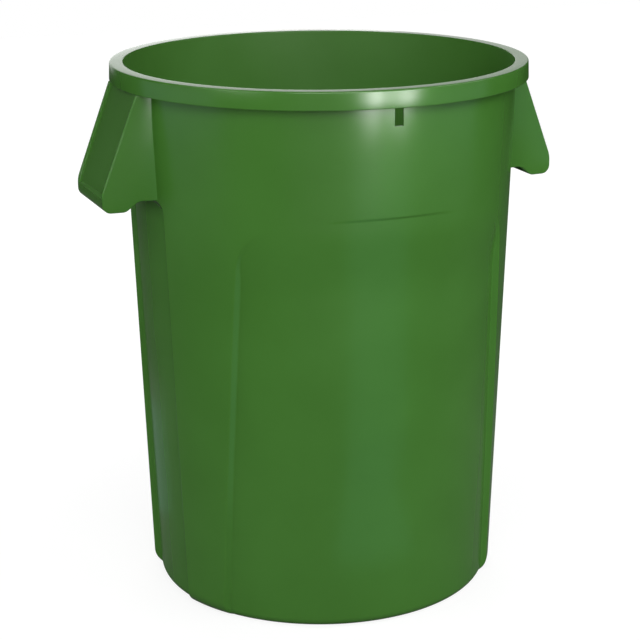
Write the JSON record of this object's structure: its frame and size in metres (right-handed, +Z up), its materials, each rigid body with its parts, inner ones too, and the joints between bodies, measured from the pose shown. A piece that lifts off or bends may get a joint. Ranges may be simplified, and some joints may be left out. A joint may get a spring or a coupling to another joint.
{
  "type": "trash can",
  "caption": "Round tapered waste container without a lid, with arch panels, hand channels, a deep rim band and a hollow bail-shaped handle on each side.",
  "frame": {"origin": "centre of the standing ring, on the floor", "axes": "+Z up; the front, with a liner slot and an arch panel, faces -Y; the handles point along +X and -X"},
  "size_m": [0.706, 0.6136, 0.794],
  "materials": {
    "green_polyethylene": "semi-gloss injection-moulded polyethylene, coloured through, with fine moulding texture"
  },
  "bodies": {
    "root": {"wall_front": "green_polyethylene", "wall_rear": "green_polyethylene", "base_floor": "green_polyethylene", "foot_ring": "green_polyethylene", "base_rib_ring": "green_polyethylene", "collar_left": "green_polyethylene", "collar_right": "green_polyethylene", "rim_flange": "green_polyethylene", "rim_band": "green_polyethylene", "rim_rib_01": "green_polyethylene", "rim_rib_02": "green_polyethylene", "rim_rib_03": "green_polyethylene", "rim_rib_04": "green_polyethylene", "rim_rib_05": "green_polyethylene", "rim_rib_06": "green_polyethylene", "rim_rib_07": "green_polyethylene", "rim_rib_08": "green_polyethylene", "rim_rib_09": "green_polyethylene", "rim_rib_10": "green_polyethylene", "rim_rib_11": "green_polyethylene", "rim_rib_12": "green_polyethylene", "handle_right_front_cheek": "green_polyethylene", "handle_right_rear_cheek": "green_polyethylene", "handle_right_web": "green_polyethylene", "handle_right_grip": "green_polyethylene", "handle_left_front_cheek": "green_polyethylene", "handle_left_rear_cheek": "green_polyethylene", "handle_left_web": "green_polyethylene", "handle_left_grip": "green_polyethylene"}
  },
  "joints": []
}
